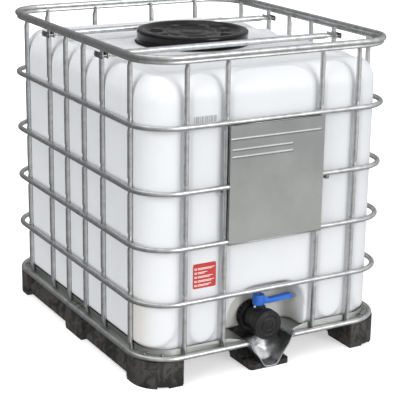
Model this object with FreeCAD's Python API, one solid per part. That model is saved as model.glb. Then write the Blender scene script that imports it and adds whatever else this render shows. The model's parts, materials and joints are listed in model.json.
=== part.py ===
import FreeCAD, Part
import math
import os

from FreeCAD import Vector

# Intermediate bulk container: a blow-moulded bottle in a tubular steel cage on three
# plastic runners.  Millimetres, +Z up, origin on the floor under the centre, outlet at -Y.

# ---- driving dimensions ---------------------------------------------------------------
LENGTH = 1200.0                 # outline along Y
WIDTH = 1000.0                  # outline along X
HEIGHT = 1140.0                 # floor to the top of the rim
CORNER_R = 144.0                # outer corner radius of every ring
TUBE_R = 9.0                    # rails, uprights and base rim
TUBE_WALL = 1.0
RAIL_HEIGHTS = (299.0, 492.0, 684.0, 902.0)
SIDE_UPRIGHTS = (-437.0, -225.0, -75.0, 75.0, 225.0, 437.0)
FRONT_UPRIGHTS = (-337.0, -186.0, 186.0, 337.0)
REAR_UPRIGHTS = (-331.0, -127.0, 127.0, 331.0)

FOOT_TOP = 96.0                 # top of the runners under the base rim
FLOOR_TOP = 108.0               # top of the tray floor
SHEET = 1.2                     # tray and panel sheet
TRAY_WALL_TOP = 128.0
TRAY_WALL_INSET = 37.0          # outer face of the tray wall, in from the outline

BOTTLE_INSET = 37.0              # clears the uprights' inner faces
BOTTLE_WALL = 3.0
BOTTLE_TOP = 1062.0

LID_R = 205.0
LID_TOP = 1110.0
NECK_R = 186.0

BAR_R = 11.0
BAR_Y = 225.0
BAR_Z = 1088.0

VALVE_Z = 150.0                 # outlet axis
POCKET_Y = -444.0               # back of the valve pocket
POCKET_HALF = 160.0
POCKET_TOP = 300.0
POCKET_CORNER_R = 110.0
BORE_R = 39.0                   # 80 mm class outlet
STEM_Y = -502.0
STEM_R = 6.0
RUN_FIT = 0.05                  # radial clearance of a turning fit

RUNNER_IN = 347.0
RUNNER_OUT = 492.0
RUNNER_END = 592.0
CENTRE_HALF = 80.0
CHUTE_TOP_HALF = 88.0
CHUTE_LEVEL_END = -540.0        # the trough runs level from the front to here
CHUTE_RISE_END = -490.0         # and has climbed to its back section here

# ---- places worked out from them --------------------------------------------------------
HALF_X = WIDTH / 2
HALF_Y = LENGTH / 2
UPRIGHT_INSET = 3 * TUBE_R      # uprights stand just inside the rails
FLOOR_UNDER = FLOOR_TOP - SHEET
RIM_Z = FOOT_TOP + TUBE_R
X_AXIS = Vector(1, 0, 0)
Y_AXIS = Vector(0, 1, 0)
Z_AXIS = Vector(0, 0, 1)

os.makedirs("parts", exist_ok=True)


# ---- helpers ------------------------------------------------------------------------------
def save(shape, name):
    """Writes one node, as a solid or as a group of separate solids."""
    solids = shape.Solids
    result = solids[0] if len(solids) == 1 else Part.makeCompound(solids)
    assert result.isValid(), name
    result.exportStep("parts/" + name + ".step")


def fuse(shapes):
    return shapes[0].multiFuse(shapes[1:]).removeSplitter()


def box(x0, x1, y0, y1, z0, z1):
    return Part.makeBox(x1 - x0, y1 - y0, z1 - z0, Vector(x0, y0, z0))


def cylinder(radius, start, axis, length):
    return Part.makeCylinder(radius, length, start, axis)


def upright_cylinder(radius, x, y, z0, z1):
    return cylinder(radius, Vector(x, y, z0), Z_AXIS, z1 - z0)


def outlet_cylinder(radius, y0, y1):
    """A cylinder on the outlet's axis, from y0 (front) to y1 (back)."""
    return cylinder(radius, Vector(0, y0, VALVE_Z), Y_AXIS, y1 - y0)


def rounded_block(half_x, half_y, radius, z0, z1):
    block = box(-half_x, half_x, -half_y, half_y, z0, z1)
    corners = [edge for edge in block.Edges if abs(edge.tangentAt(edge.FirstParameter).z) > 0.9]
    return block.makeFillet(radius, corners)


def inset_block(inset, z0, z1):
    """The object's rounded outline, moved in by inset."""
    return rounded_block(HALF_X - inset, HALF_Y - inset, CORNER_R - inset, z0, z1)


def prism_along_y(points, y0, y1):
    """A polygon of (x, z) points drawn at y0 and carried to y1."""
    corners = [Vector(x, y0, z) for x, z in points]
    face = Part.Face(Part.makePolygon(corners + corners[:1]))
    return face.extrude(Vector(0, y1 - y0, 0))


def disc_face(inset, z, radius):
    """A round face across the front side of the outline, at the middle of that side."""
    centre = Vector(0, inset - HALF_Y, z)
    return Part.Face(Part.Wire(Part.makeCircle(radius, centre, X_AXIS)))


def sweep_round(face, gap=0.0):
    """Carries a face at the middle of the front side round the outline.

    gap is half the break at the front.
    """
    corner_x = HALF_X - CORNER_R
    corner_y = HALF_Y - CORNER_R
    half_front = corner_x - gap
    legs = [
        (X_AXIS * half_front, (corner_x, -corner_y)),
        (Y_AXIS * 2 * corner_y, (corner_x, corner_y)),
        (X_AXIS * -2 * corner_x, (-corner_x, corner_y)),
        (Y_AXIS * -2 * corner_y, (-corner_x, -corner_y)),
        (X_AXIS * half_front, None),
    ]
    section = face.copy()
    section.translate(X_AXIS * gap)
    pieces = []
    for run, corner in legs:
        pieces.append(section.extrude(run))
        section.translate(run)
        if corner is not None:
            pivot = Vector(corner[0], corner[1], 0)
            pieces.append(section.revolve(pivot, Z_AXIS, 90))
            section.rotate(pivot, Z_AXIS, 90)
    return fuse(pieces)


def hex_prism(across_flats, start, axis, height):
    radius = across_flats / math.sqrt(3)
    side = Vector(0, 0, 1) if abs(axis.z) < 0.5 else Vector(1, 0, 0)
    other = axis.cross(side)
    corners = []
    for index in range(6):
        angle = math.radians(60 * index)
        corners.append(start + side * (radius * math.cos(angle)) + other * (radius * math.sin(angle)))
    return Part.Face(Part.makePolygon(corners + corners[:1])).extrude(axis * height)


def revolve_profile(points):
    """Turns an outline of (radius, z) points about the Z axis."""
    corners = [Vector(radius, 0, z) for radius, z in points]
    face = Part.Face(Part.makePolygon(corners + corners[:1]))
    return face.revolve(Vector(0, 0, 0), Z_AXIS, 360)


# ---- cage -----------------------------------------------------------------------------------
def ring_tube(z, gap=0.0):
    section = disc_face(TUBE_R, z, TUBE_R).cut(disc_face(TUBE_R, z, TUBE_R - TUBE_WALL))
    return sweep_round(section.Faces[0], gap)


RIM_UPPER_R = 10.0
RIM_LOWER_R = 6.0
RIM_UPPER_Z = HEIGHT - RIM_UPPER_R
RIM_LOWER_Z = RIM_UPPER_Z - 15.5
RIM_LOWER_INSET = 2 * TUBE_R - RIM_LOWER_R


def top_rim():
    """The two-lobed top ring: a round upper lobe over a slimmer lower one set back from it."""
    outer = disc_face(RIM_UPPER_R, RIM_UPPER_Z, RIM_UPPER_R)
    outer = outer.fuse(disc_face(RIM_LOWER_INSET, RIM_LOWER_Z, RIM_LOWER_R)).removeSplitter()
    hollow = disc_face(RIM_UPPER_R, RIM_UPPER_Z, RIM_UPPER_R - TUBE_WALL)
    hollow = hollow.fuse(disc_face(RIM_LOWER_INSET, RIM_LOWER_Z, RIM_LOWER_R - TUBE_WALL))
    section = outer.cut(hollow)
    return sweep_round(section.Faces[0])


def rim_sleeve():
    """The splice over the upper lobe's joint in the rear side."""
    half = 24.0
    centre = Vector(-half, HALF_Y - RIM_UPPER_R, RIM_UPPER_Z)
    sleeve = cylinder(RIM_UPPER_R + SHEET, centre, X_AXIS, 2 * half)
    sleeve = sleeve.cut(cylinder(RIM_UPPER_R, centre, X_AXIS, 2 * half))
    under = HEIGHT - 1.5 * RIM_UPPER_R
    back = HALF_Y + 2 * RIM_UPPER_R
    return sleeve.cut(box(-half, half, back - 60, back, under - 30, under))


def upright(x, y):
    top = RIM_LOWER_Z + RIM_LOWER_R - 1.0
    tube = upright_cylinder(TUBE_R, x, y, FLOOR_TOP, top)
    return tube.cut(upright_cylinder(TUBE_R - TUBE_WALL, x, y, FLOOR_TOP, top))


def upright_places():
    side_x = HALF_X - UPRIGHT_INSET
    end_y = HALF_Y - UPRIGHT_INSET
    places = {}
    for index, y in enumerate(SIDE_UPRIGHTS, 1):
        places["upright_left_%d" % index] = (-side_x, y)
        places["upright_right_%d" % index] = (side_x, y)
    for index, x in enumerate(FRONT_UPRIGHTS, 1):
        places["upright_front_%d" % index] = (x, -end_y)
    for index, x in enumerate(REAR_UPRIGHTS, 1):
        places["upright_rear_%d" % index] = (x, end_y)
    return places


# ---- cross bars over the lid ----------------------------------------------------------------
PLATE_T = 3.0
PLATE_HALF_Y = 31.0
PLATE_HALF_Z = 10.0
CLAMP_BOLT_Y = 22.0
CLAMP_BOLT_R = 3.0
CLAMP_HOLE_R = 3.3
UPRIGHT_FACE_IN = HALF_X - UPRIGHT_INSET - TUBE_R
UPRIGHT_FACE_OUT = HALF_X - UPRIGHT_INSET + TUBE_R


def clamp_holes(y):
    holes = []
    for offset in (-CLAMP_BOLT_Y, CLAMP_BOLT_Y):
        start = Vector(-HALF_X, y + offset, BAR_Z)
        holes.append(cylinder(CLAMP_HOLE_R, start, X_AXIS, WIDTH))
    return Part.makeCompound(holes)


def crossbar(y):
    """A tube with pressed-flat ends, each welded to a plate on the inside of an upright."""
    straight = UPRIGHT_FACE_IN - 34
    plate_in = UPRIGHT_FACE_IN - PLATE_T
    start = Vector(-straight, y, BAR_Z)
    pieces = [cylinder(BAR_R, start, X_AXIS, 2 * straight)]
    for side in (-1, 1):
        round_end = Part.Wire(Part.makeCircle(BAR_R, Vector(side * straight, y, BAR_Z), X_AXIS))
        centre = Vector(side * (plate_in + 0.5), y, BAR_Z)
        flat_end = Part.Ellipse(centre + Vector(0, 15, 0), centre + Vector(0, 0, 3), centre)
        taper = Part.makeLoft([round_end, Part.Wire(flat_end.toShape())], True)
        pieces.append(taper)
        x0, x1 = sorted((side * plate_in, side * UPRIGHT_FACE_IN))
        pieces.append(box(x0, x1, y - PLATE_HALF_Y, y + PLATE_HALF_Y,
                          BAR_Z - PLATE_HALF_Z, BAR_Z + PLATE_HALF_Z))
    bar = fuse(pieces)
    bore = cylinder(BAR_R - TUBE_WALL, start, X_AXIS, 2 * straight)
    return bar.cut(bore).cut(clamp_holes(y))


def crossbar_clamps():
    """The outer plates that pinch the uprights against the cross bars' end plates."""
    plates = []
    for y in (-BAR_Y, BAR_Y):
        for side in (-1, 1):
            x0, x1 = sorted((side * UPRIGHT_FACE_OUT, side * (UPRIGHT_FACE_OUT + PLATE_T)))
            plate = box(x0, x1, y - PLATE_HALF_Y, y + PLATE_HALF_Y,
                        BAR_Z - PLATE_HALF_Z, BAR_Z + PLATE_HALF_Z)
            plates.append(plate.cut(clamp_holes(y)))
    return Part.makeCompound(plates)


def crossbar_bolts():
    """Bolt, head and nut as one solid at each clamp hole."""
    head = 4.0
    nut = 5.0
    bolts = []
    for y in (-BAR_Y, BAR_Y):
        for side in (-1, 1):
            out = X_AXIS * side
            for offset in (-CLAMP_BOLT_Y, CLAMP_BOLT_Y):
                nut_face = Vector(side * (UPRIGHT_FACE_IN - PLATE_T), y + offset, BAR_Z)
                head_face = Vector(side * (UPRIGHT_FACE_OUT + PLATE_T), y + offset, BAR_Z)
                length = abs(head_face.x - nut_face.x)
                bolts.append(fuse([
                    cylinder(CLAMP_BOLT_R, nut_face, out, length),
                    hex_prism(10, head_face, out, head),
                    hex_prism(10, nut_face, out * -1, nut),
                ]))
    return Part.makeCompound(bolts)


# ---- front panel ------------------------------------------------------------------------------
PANEL_HALF = 186.0
PANEL_HOOK_HALF = 170.0
PANEL_CLIP_X = 206.0


def label_panel():
    """A sheet in front of the rails, hooked under the top and the third rail down."""
    front = -HALF_Y - SHEET
    hook_back = -HALF_Y + 2 * TUBE_R + SHEET
    top = RAIL_HEIGHTS[3] - TUBE_R
    bottom = RAIL_HEIGHTS[1] - TUBE_R - SHEET
    pieces = [box(-PANEL_HALF, PANEL_HALF, front, -HALF_Y, bottom, top)]
    for low, lip in ((top - SHEET, 12.0), (bottom, 8.0)):
        half = PANEL_HOOK_HALF
        pieces.append(box(-half, half, front, hook_back, low, low + SHEET))
        pieces.append(box(-half, half, hook_back - SHEET, hook_back, low, low + SHEET + lip))
    return fuse(pieces)


def panel_clips():
    """Two small clips round the rail behind the panel, one at each edge."""
    rail_y = -HALF_Y + TUBE_R
    rail_z = RAIL_HEIGHTS[2]
    half_width = 6.0
    clips = []
    for x in (-PANEL_CLIP_X, PANEL_CLIP_X):
        block = box(x - half_width, x + half_width, -HALF_Y, rail_y + TUBE_R,
                    rail_z - TUBE_R - 9, rail_z)
        rail = cylinder(TUBE_R, Vector(x - 20, rail_y, rail_z), X_AXIS, 40)
        slot = box(x - 20, x + 20, rail_y - 5, rail_y + 5, rail_z - TUBE_R - 6, rail_z)
        clips.append(block.cut(rail).cut(slot).Solids)
    return Part.makeCompound([solid for pair in clips for solid in pair])


# ---- bottle -----------------------------------------------------------------------------------
SHOULDER_R = 80.0
MOUTH_R = NECK_R - 10.0
NECK_TOP = 1090.0
OUTLET_NECK_R = 45.0
OUTLET_NECK_END = POCKET_Y - 20.0


def bottle_body(extra):
    """The bottle's body, smaller on every side by extra."""
    inset = BOTTLE_INSET + extra
    body = rounded_block(HALF_X - inset, HALF_Y - inset, 115.0 - extra,
                         FLOOR_TOP + extra, BOTTLE_TOP - extra)
    level = [edge for edge in body.Edges
             if edge.BoundBox.ZLength < 0.01]
    body = body.makeFillet(SHOULDER_R - extra, level)
    half = POCKET_HALF + extra
    pocket = box(-half, half, -HALF_Y, POCKET_Y + extra, 0, POCKET_TOP + extra)
    arch = [edge for edge in pocket.Edges
            if edge.BoundBox.YLength > 1 and edge.BoundBox.ZMin > POCKET_TOP - 1]
    return body.cut(pocket.makeFillet(POCKET_CORNER_R + extra, arch))


def bottle():
    shell = bottle_body(0.0).cut(bottle_body(BOTTLE_WALL))
    base = BOTTLE_TOP - BOTTLE_WALL
    neck = upright_cylinder(NECK_R, 0, 0, base, NECK_TOP)
    threads = [upright_cylinder(NECK_R + 2, 0, 0, z, z + 3) for z in (1072.0, 1081.0)]
    outlet = outlet_cylinder(OUTLET_NECK_R, OUTLET_NECK_END, POCKET_Y + BOTTLE_WALL)
    shell = fuse([shell, neck, outlet] + threads)
    shell = shell.cut(upright_cylinder(MOUTH_R, 0, 0, base - 20, NECK_TOP + 1))
    return shell.cut(outlet_cylinder(BORE_R + 1, OUTLET_NECK_END - 1, POCKET_Y + 20))


def bottle_label():
    face = -HALF_Y + BOTTLE_INSET
    return box(-302, -214, face - 0.4, face, 334, 422)


# ---- filler lid ---------------------------------------------------------------------------------
def neck_collar():
    return revolve_profile([(NECK_R + 1, BOTTLE_TOP), (212, BOTTLE_TOP),
                            (212, BOTTLE_TOP + 2), (209, BOTTLE_TOP + 3.5), (NECK_R + 1, BOTTLE_TOP + 3.5)])


def lid_gasket():
    return revolve_profile([(MOUTH_R, NECK_TOP), (NECK_R, NECK_TOP),
                            (NECK_R, NECK_TOP + 2), (MOUTH_R, NECK_TOP + 2)])


def lid():
    """Screw lid: a skirt over the neck, a raised rim and a sunk centre with a low boss."""
    under = NECK_TOP + 2
    skirt_in = NECK_R + 4
    return revolve_profile([
        (0, under), (0, under + 9), (38, under + 9), (44, under + 5), (168, under + 5),
        (180, LID_TOP - 1), (183, LID_TOP), (202, LID_TOP), (LID_R, LID_TOP - 3),
        (LID_R, BOTTLE_TOP + 5), (skirt_in, BOTTLE_TOP + 5), (skirt_in, under),
    ])


# ---- outlet valve -----------------------------------------------------------------------------------
FLANGE_BACK = OUTLET_NECK_END - 2.0
FLANGE_FRONT = FLANGE_BACK - 6.0
FLANGE_R = 49.0
BARREL_R = 44.0
NUT_R = 57.0
NUT_FRONT = FLANGE_FRONT - 4.0
COLLAR_BACK = -542.0
COLLAR_FRONT = COLLAR_BACK - 4.0
SPIGOT_R = 48.5
SPIGOT_END = COLLAR_FRONT - 20.0
CAP_R = 54.0
CAP_FRONT = SPIGOT_END - 6.0
BOSS_TOP = VALVE_Z + 56.0
DISC_R = BORE_R - 0.5


def union_nut():
    """The ribbed nut that holds the valve to the bottle's outlet neck."""
    nut = outlet_cylinder(NUT_R - 3, NUT_FRONT, POCKET_Y - 2)
    ribs = [nut]
    for index in range(24):
        rib = box(-2.5, 2.5, NUT_FRONT + 4, POCKET_Y - 5, VALVE_Z + NUT_R - 5, VALVE_Z + NUT_R)
        rib.rotate(Vector(0, 0, VALVE_Z), Y_AXIS, 15 * index)
        ribs.append(rib)
    nut = fuse(ribs)
    nut = nut.cut(outlet_cylinder(OUTLET_NECK_R + 0.5, OUTLET_NECK_END, POCKET_Y))
    nut = nut.cut(outlet_cylinder(FLANGE_R + 0.5, FLANGE_FRONT, OUTLET_NECK_END))
    return nut.cut(outlet_cylinder(BARREL_R + 0.6, NUT_FRONT, FLANGE_FRONT))


def outlet_seal():
    ring = outlet_cylinder(OUTLET_NECK_R, FLANGE_BACK, OUTLET_NECK_END)
    return ring.cut(outlet_cylinder(BORE_R + 1, FLANGE_BACK, OUTLET_NECK_END))


SEAL_Z = VALVE_Z + 50.0
SEAL_R = STEM_R + 3.0


def valve_body():
    body = fuse([
        outlet_cylinder(FLANGE_R, FLANGE_FRONT, FLANGE_BACK),
        outlet_cylinder(BARREL_R, COLLAR_BACK, FLANGE_FRONT),
        outlet_cylinder(CAP_R, COLLAR_FRONT, COLLAR_BACK),
        outlet_cylinder(SPIGOT_R - 1.5, SPIGOT_END, COLLAR_FRONT),
        outlet_cylinder(SPIGOT_R, SPIGOT_END + 3, SPIGOT_END + 6),
        outlet_cylinder(SPIGOT_R, SPIGOT_END + 11, SPIGOT_END + 14),
        upright_cylinder(17.0, 0, STEM_Y, VALVE_Z + BORE_R + 3, BOSS_TOP),
        box(-25, -12, STEM_Y - 14, STEM_Y - 6, VALVE_Z + BORE_R, BOSS_TOP - 6),
    ])
    body = body.cut(outlet_cylinder(BORE_R, SPIGOT_END, FLANGE_BACK))
    body = body.cut(upright_cylinder(STEM_R + RUN_FIT, 0, STEM_Y, VALVE_Z, BOSS_TOP))
    body = body.cut(upright_cylinder(SEAL_R, 0, STEM_Y, SEAL_Z, SEAL_Z + 3))
    return body.cut(upright_cylinder(STEM_R + RUN_FIT, 0, STEM_Y, VALVE_Z - BORE_R - 4, VALVE_Z))


def stem_seal():
    ring = upright_cylinder(SEAL_R, 0, STEM_Y, SEAL_Z, SEAL_Z + 3)
    return ring.cut(upright_cylinder(STEM_R + RUN_FIT, 0, STEM_Y, SEAL_Z, SEAL_Z + 3))


STEM_TOP = VALVE_Z + 82.0
SCREW_R = 2.5


def valve_stem():
    stem = upright_cylinder(STEM_R, 0, STEM_Y, VALVE_Z - BORE_R - 3, STEM_TOP)
    return stem.cut(upright_cylinder(SCREW_R, 0, STEM_Y, STEM_TOP - 8, STEM_TOP))


def valve_disc():
    """The butterfly: a flat disc and hub cut from one ball, so that it turns in the bore."""
    centre = Vector(0, STEM_Y, VALVE_Z)
    ball = Part.makeSphere(DISC_R, centre)
    half = 4.0
    slab = box(-60, 60, STEM_Y - half, STEM_Y + half, VALVE_Z - 60, VALVE_Z + 60)
    hub = upright_cylinder(10.0, 0, STEM_Y, VALVE_Z - 60, VALVE_Z + 60)
    disc = fuse([ball.common(slab), ball.common(hub)])
    return disc.cut(upright_cylinder(STEM_R, 0, STEM_Y, VALVE_Z - 60, VALVE_Z + 60))


HUB_R = 21.0
HUB_BASE = BOSS_TOP + 0.5
HUB_TOP = VALVE_Z + 93.0
ARM_REACH = 138.0
ARM_LOW = VALVE_Z + CAP_R + 1.2  # the arm swings over the outlet cap


def valve_lever():
    """Hub over the stem, and an arm that steps down, then climbs a little to its end."""
    arm_top = ARM_LOW + 16.0
    arm = prism_along_y([
        (8, HUB_TOP - 6), (25, HUB_TOP - 10), (42, arm_top), (ARM_REACH - 6, arm_top + 5),
        (ARM_REACH, arm_top), (ARM_REACH, ARM_LOW + 8), (ARM_REACH - 5, ARM_LOW + 4),
        (44, ARM_LOW), (26, ARM_LOW + 2), (8, ARM_LOW + 2),
    ], STEM_Y - 11, STEM_Y + 11)
    lever = fuse([upright_cylinder(HUB_R, 0, STEM_Y, HUB_BASE, HUB_TOP), arm])
    lever = lever.cut(upright_cylinder(STEM_R, 0, STEM_Y, HUB_BASE, STEM_TOP))
    lever = lever.cut(upright_cylinder(SCREW_R, 0, STEM_Y, STEM_TOP, HUB_TOP))
    return lever.cut(upright_cylinder(12.0, 0, STEM_Y, HUB_TOP - 4, HUB_TOP))


def lever_screw():
    head = upright_cylinder(6.0, 0, STEM_Y, HUB_TOP - 4, HUB_TOP - 1)
    cross = box(-4, 4, STEM_Y - 0.6, STEM_Y + 0.6, HUB_TOP - 2.2, HUB_TOP)
    shank = upright_cylinder(SCREW_R, 0, STEM_Y, STEM_TOP - 7, HUB_TOP - 4)
    return fuse([head, shank]).cut(cross)


def seal_pin():
    """The small white tamper pin beside the stem."""
    head_r = 4.0
    head = Part.makeSphere(head_r, Vector(-21, STEM_Y - 11, BOSS_TOP - 3))
    return head.cut(box(-30, -10, STEM_Y - 20, STEM_Y, BOSS_TOP - 6 - head_r, BOSS_TOP - 6))


def outlet_cap():
    """Screw cap with ribs round its edge, over the spigot and against the collar."""
    back = COLLAR_FRONT - 0.5
    cap = outlet_cylinder(CAP_R - 1, CAP_FRONT, back)
    ribs = [cap]
    for index in range(30):
        rib = box(-1.8, 1.8, CAP_FRONT + 2, back - 1, VALVE_Z + CAP_R - 4, VALVE_Z + CAP_R)
        rib.rotate(Vector(0, 0, VALVE_Z), Y_AXIS, 12 * index)
        ribs.append(rib)
    cap = fuse(ribs)
    return cap.cut(outlet_cylinder(SPIGOT_R + 0.5, SPIGOT_END - 2, back))


def cap_gasket():
    ring = outlet_cylinder(SPIGOT_R, SPIGOT_END - 2, SPIGOT_END)
    return ring.cut(outlet_cylinder(BORE_R + 1, SPIGOT_END - 2, SPIGOT_END))


# ---- base --------------------------------------------------------------------------------------------
CHUTE_BACK = POCKET_Y
NECK_ROOM_R = OUTLET_NECK_R + 1.0
CHUTE_LIP = FLOOR_TOP + 2.0     # the sections run up to here before their tops are cut off
CHUTE_T = 1.5
CUTOUT_HALF = CHUTE_TOP_HALF + CHUTE_T + 1.0
BASE_BOLT_R = 4.0
CORNER_BOLT_R = 117.0
WING_BOLT_X = 102.0
WING_PAST_BOLT = 12.0
WING_FRONT = 19.0               # both measured back from the front of the cage
WING_BACK = 36.0
WALL_RAMP = ((98.0, 2.0), (120.0, 9.0), (150.0, 17.0))   # half-width, height over the floor
WALL_FULL = 176.0               # the wall has its full height beyond this half-width
HOLD_DOWN_T = 2.5
HOLD_DOWN_OUT = 124.5           # radii of the curved plates at the corners
HOLD_DOWN_IN = 109.0
HOLD_DOWN_SPREAD = 26.0         # degrees each side of the corner's middle
HOLD_DOWN_HALF_LONG = 34.0
HOLD_DOWN_HALF_WIDE = 8.0
BASE_BOLT_LENGTH = 28.0
BASE_BOLT_HEAD = 5.0
FLANGE_MID = UPRIGHT_INSET


def chute_section(grow, back):
    """The trough's section, from one lip down and up to the other, grown outwards by grow.

    The front section is deep and narrows to a rounded bottom; the back one is shallow.
    """
    if back:
        half = [(12, 80 - grow), (30, 80.5 - grow), (50, 82 - grow), (66 + 0.3 * grow, 86 - grow)]
    else:
        half = [(10, 8 - grow), (22 + 0.5 * grow, 13 - grow), (40 + grow, 36 - 0.6 * grow),
                (60 + grow, 69 - 0.5 * grow)]
    half += [(79 + grow, 96 - 0.5 * grow), (CHUTE_TOP_HALF + grow, CHUTE_LIP)]
    return [(-x, z) for x, z in reversed(half)] + half


def chute_solid(outlines):
    """Carries a front and a back outline along the trough: level, then climbing, then level."""
    front, back = outlines
    rise = []
    for outline, y in ((front, CHUTE_LEVEL_END), (back, CHUTE_RISE_END)):
        corners = [Vector(x, y, z) for x, z in outline]
        rise.append(Part.makePolygon(corners + corners[:1]))
    return fuse([
        prism_along_y(front, -HALF_Y, CHUTE_LEVEL_END),
        Part.makeLoft(rise, True, True),
        prism_along_y(back, CHUTE_RISE_END, CHUTE_BACK),
    ])


def chute_skin():
    """The trough's sheet, as bands between the inner and the outer section."""
    bands = []
    for back in (False, True):
        bands.append(chute_section(0.0, back) + chute_section(CHUTE_T, back)[::-1])
    return chute_solid(bands)


def chute_room(grow):
    """The filled trough, grown outwards, for cutting room round it."""
    return chute_solid([chute_section(grow, False), chute_section(grow, True)])


def valve_chute():
    """The sheet trough below the valve, with a wing each side bolted to the tray."""
    riser = prism_along_y(chute_section(CHUTE_T, True), CHUTE_BACK - CHUTE_T, CHUTE_BACK)
    above = box(-HALF_X, HALF_X, -HALF_Y, CHUTE_BACK, FLOOR_TOP, HEIGHT)
    pieces = [fuse([chute_skin(), riser]).cut(above)]
    for side in (-1, 1):
        x0, x1 = sorted((side * (CHUTE_TOP_HALF - 1), side * (WING_BOLT_X + WING_PAST_BOLT)))
        pieces.append(box(x0, x1, -HALF_Y + WING_FRONT, -HALF_Y + WING_BACK,
                          FLOOR_TOP, FLOOR_TOP + CHUTE_T))
    chute = fuse(pieces).cut(outlet_cylinder(NECK_ROOM_R, CHUTE_BACK - 2, CHUTE_BACK))
    for side in (-1, 1):
        hole = upright_cylinder(CLAMP_HOLE_R, side * WING_BOLT_X, -HALF_Y + FLANGE_MID, 0, HEIGHT)
        chute = chute.cut(hole)
    return chute


def base_bolt_places():
    """Bolts through the tray flange into the runners: two per corner, side and rear."""
    places = []
    corner_x = HALF_X - CORNER_R
    corner_y = HALF_Y - CORNER_R
    for index in range(4):
        for offset in (-16, 16):
            angle = math.radians(45 + 90 * index + offset)
            places.append((math.copysign(corner_x, math.cos(angle)) + CORNER_BOLT_R * math.cos(angle),
                           math.copysign(corner_y, math.sin(angle)) + CORNER_BOLT_R * math.sin(angle)))
    for offset in (-20, 20):
        places.append((-HALF_X + FLANGE_MID, offset))
        places.append((HALF_X - FLANGE_MID, offset))
        places.append((offset, HALF_Y - FLANGE_MID))
    return places


def base_holes(z0, z1):
    return Part.makeCompound([upright_cylinder(BASE_BOLT_R, x, y, z0, z1)
                              for x, y in base_bolt_places()])


def base_tray():
    """The sheet floor and its upturned wall, which ramps down to the gap round the chute."""
    floor = inset_block(2 * TUBE_R, FLOOR_UNDER, FLOOR_TOP)
    wall = inset_block(TRAY_WALL_INSET, FLOOR_TOP, TRAY_WALL_TOP)
    wall = wall.cut(inset_block(TRAY_WALL_INSET + SHEET, FLOOR_TOP, TRAY_WALL_TOP))
    ramp = [(x, FLOOR_TOP + rise) for x, rise in WALL_RAMP]
    ramp += [(WALL_FULL, TRAY_WALL_TOP), (WALL_FULL, TRAY_WALL_TOP + 1)]
    ramp = [(-x, z) for x, z in reversed(ramp)] + ramp
    wall = wall.cut(prism_along_y(ramp, -HALF_Y, -HALF_Y + TRAY_WALL_INSET + SHEET + 1))
    tray = fuse([floor, wall])
    tray = tray.cut(box(-CUTOUT_HALF, CUTOUT_HALF, -HALF_Y, CHUTE_BACK + 4, 0, HEIGHT))
    for side in (-1, 1):
        hole = upright_cylinder(CLAMP_HOLE_R, side * WING_BOLT_X, -HALF_Y + FLANGE_MID, 0, HEIGHT)
        tray = tray.cut(hole)
    return tray.cut(base_holes(0, HEIGHT))


def hold_down_plates():
    """Washer plates on the tray flange at the corners, the sides and the rear."""
    top = FLOOR_TOP + HOLD_DOWN_T
    plates = []
    corner_x = HALF_X - CORNER_R
    corner_y = HALF_Y - CORNER_R
    for index in range(4):
        angle = math.radians(45 + 90 * index)
        x = math.copysign(corner_x, math.cos(angle))
        y = math.copysign(corner_y, math.sin(angle))
        ring = upright_cylinder(HOLD_DOWN_OUT, x, y, FLOOR_TOP, top)
        ring = ring.cut(upright_cylinder(HOLD_DOWN_IN, x, y, FLOOR_TOP, top))
        reach = 2 * HOLD_DOWN_OUT
        spread = math.radians(HOLD_DOWN_SPREAD)
        corners = [Vector(x, y, FLOOR_TOP)]
        for turn in (angle - spread, angle + spread):
            corners.append(Vector(x + reach * math.cos(turn), y + reach * math.sin(turn), FLOOR_TOP))
        wedge = Part.Face(Part.makePolygon(corners + corners[:1])).extrude(Z_AXIS * HOLD_DOWN_T)
        plates.append(ring.common(wedge))
    half_long = HOLD_DOWN_HALF_LONG
    half_wide = HOLD_DOWN_HALF_WIDE
    for side in (-1, 1):
        x = side * (HALF_X - FLANGE_MID)
        plates.append(box(x - half_wide, x + half_wide, -half_long, half_long, FLOOR_TOP, top))
    y = HALF_Y - FLANGE_MID
    plates.append(box(-half_long, half_long, y - half_wide, y + half_wide, FLOOR_TOP, top))
    return Part.makeCompound([plate.cut(base_holes(0, HEIGHT)) for plate in plates])


def base_bolts():
    top = FLOOR_TOP + HOLD_DOWN_T
    bolts = []
    for x, y in base_bolt_places():
        shank = upright_cylinder(BASE_BOLT_R, x, y, top - BASE_BOLT_LENGTH, top)
        bolts.append(fuse([shank, hex_prism(13, Vector(x, y, top), Z_AXIS, BASE_BOLT_HEAD)]))
    return Part.makeCompound(bolts)


def chute_bolts():
    top = FLOOR_TOP + CHUTE_T
    bolts = []
    for side in (-1, 1):
        x = side * WING_BOLT_X
        y = -HALF_Y + FLANGE_MID
        bolts.append(fuse([
            upright_cylinder(CLAMP_BOLT_R, x, y, FLOOR_UNDER, top),
            hex_prism(10, Vector(x, y, top), Z_AXIS, 4),
            hex_prism(10, Vector(x, y, FLOOR_UNDER), Z_AXIS * -1, 5),
        ]))
    return Part.makeCompound(bolts)


FOOT_SPANS = ((-RUNNER_END, -445.0), (-72.0, 72.0), (445.0, RUNNER_END))
CENTRE_FOOT_FRONT = -520.0      # the centre runner's front foot stands back behind the chute
BOARD_TOP = 20.0
BOARD_CORNER_R = 14.0
FILL_INSET = 5.0
PAD = 7.0                       # the pads stand this far below the feet
WEB_LOW = 12.0
RUNNER_WALL = 13.0
CAVITY_TOP = 74.0


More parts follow.
